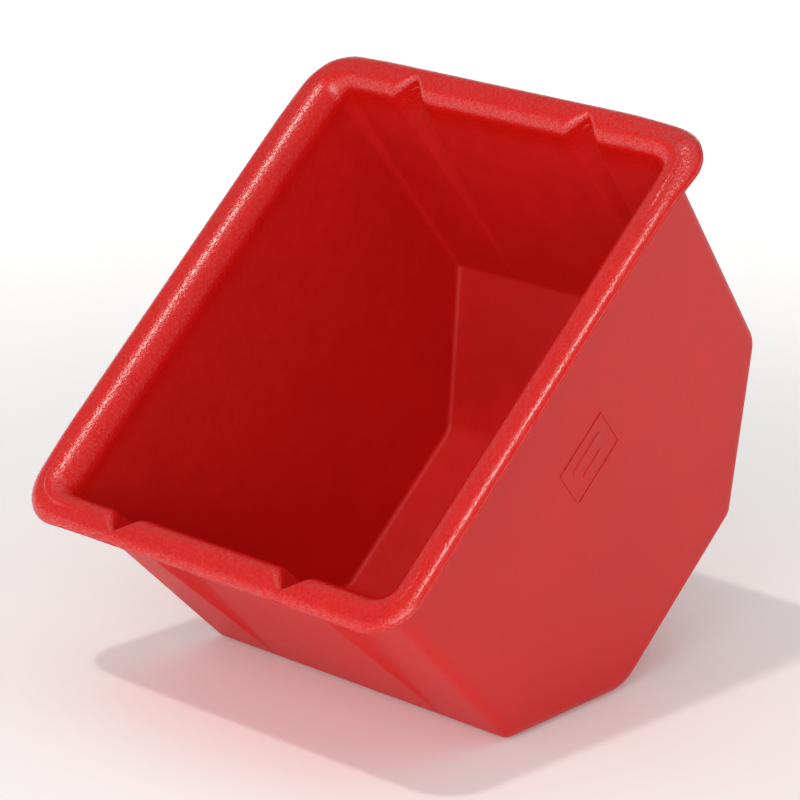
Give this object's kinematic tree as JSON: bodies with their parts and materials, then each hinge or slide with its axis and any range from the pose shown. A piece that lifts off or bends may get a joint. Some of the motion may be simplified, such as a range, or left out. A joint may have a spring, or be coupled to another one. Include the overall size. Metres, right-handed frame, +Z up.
{
  "type": "trough feeder",
  "caption": "Moulded plastic trough feeder: a flanged rectangular mouth over a tub with a hexagonal side profile and V-shaped end channels, standing on its front slope.",
  "frame": {"origin": "middle of the footprint of the whole part, on the surface that the front slope rests on", "axes": "+Z up from the resting front slope; -Y to the front, where the tilted mouth faces; +X towards the side wall with the blank label"},
  "size_m": [0.328, 0.3814, 0.3707],
  "materials": {
    "moulding": "satin, finely grained"
  },
  "bodies": {
    "root": {"rim_flange": "moulding", "front_wall": "moulding", "back_wall": "moulding", "left_side_wall": "moulding", "right_side_wall": "moulding", "front_slope": "moulding", "back_slope": "moulding", "floor_panel": "moulding", "front_rib_left": "moulding", "front_rib_right": "moulding", "back_rib_left": "moulding", "back_rib_right": "moulding", "maker_plate": "moulding"}
  },
  "joints": []
}
